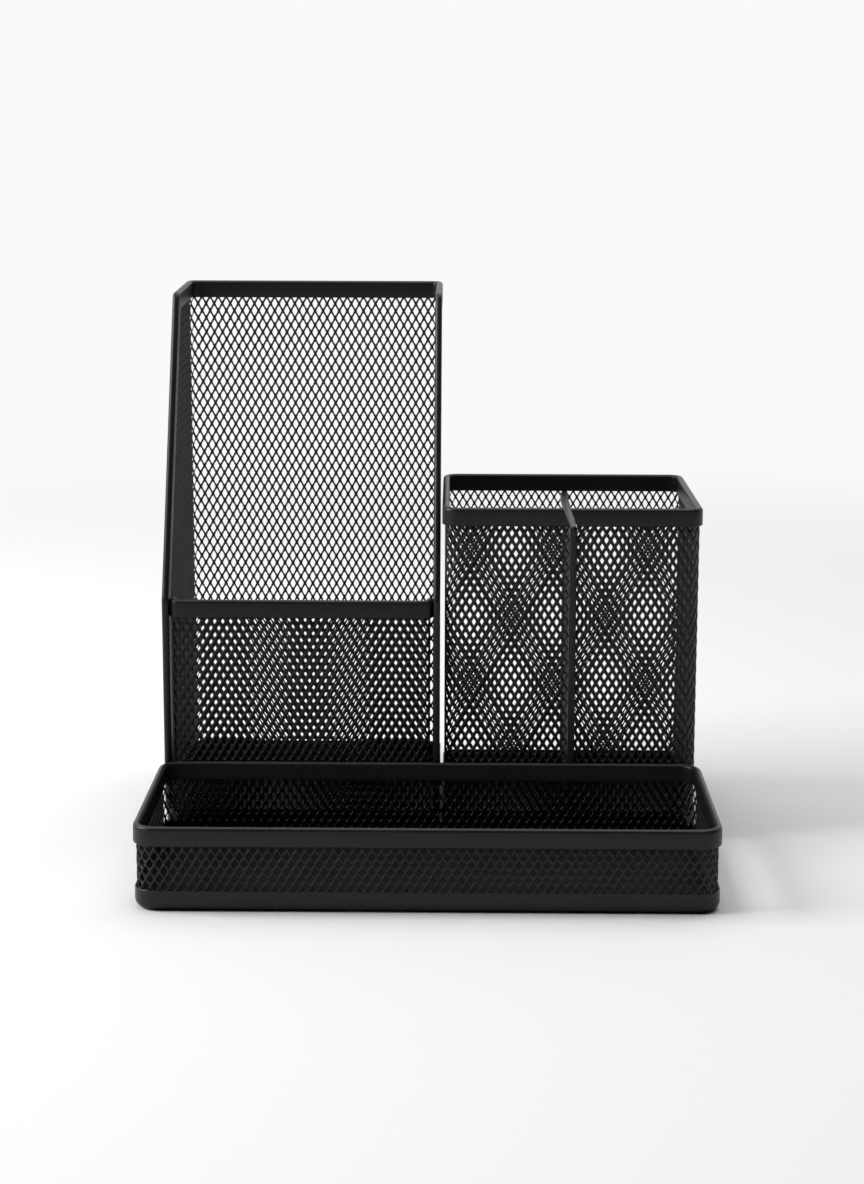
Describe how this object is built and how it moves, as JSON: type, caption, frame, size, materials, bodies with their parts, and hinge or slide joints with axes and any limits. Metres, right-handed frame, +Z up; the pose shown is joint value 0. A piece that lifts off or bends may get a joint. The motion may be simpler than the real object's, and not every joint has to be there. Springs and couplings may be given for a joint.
{
  "type": "mesh desk organizer",
  "caption": "Black steel mesh desk organizer: a low front tray, a tall letter holder with slanted sides and a front pocket, and a divided pen cup.",
  "frame": {"origin": "on the desk, under the middle of the whole footprint", "axes": "+Z up; +X to the user's right, along the tray; +Y away from the user, so the tray is on the -Y side"},
  "size_m": [0.2, 0.1906, 0.2008],
  "materials": {
    "coated_sheet": "satin black powder coat on folded steel sheet",
    "coated_mesh": "satin black powder coat on expanded steel mesh"
  },
  "bodies": {
    "root": {"tray_base_pan": "coated_sheet", "tray_mesh_wall": "coated_mesh", "tray_top_rim": "coated_sheet", "cup_base_pan": "coated_sheet", "cup_mesh_wall": "coated_mesh", "cup_top_rim": "coated_sheet", "cup_divider_mesh": "coated_mesh", "cup_divider_hem": "coated_sheet", "holder_base_pan": "coated_sheet", "holder_back_mesh": "coated_mesh", "holder_left_side_mesh": "coated_mesh", "holder_right_side_mesh": "coated_mesh", "holder_back_top_rim": "coated_sheet", "holder_left_edge_rim": "coated_sheet", "holder_right_edge_rim": "coated_sheet", "holder_pocket_mesh": "coated_mesh", "holder_pocket_rim": "coated_sheet"}
  },
  "joints": []
}
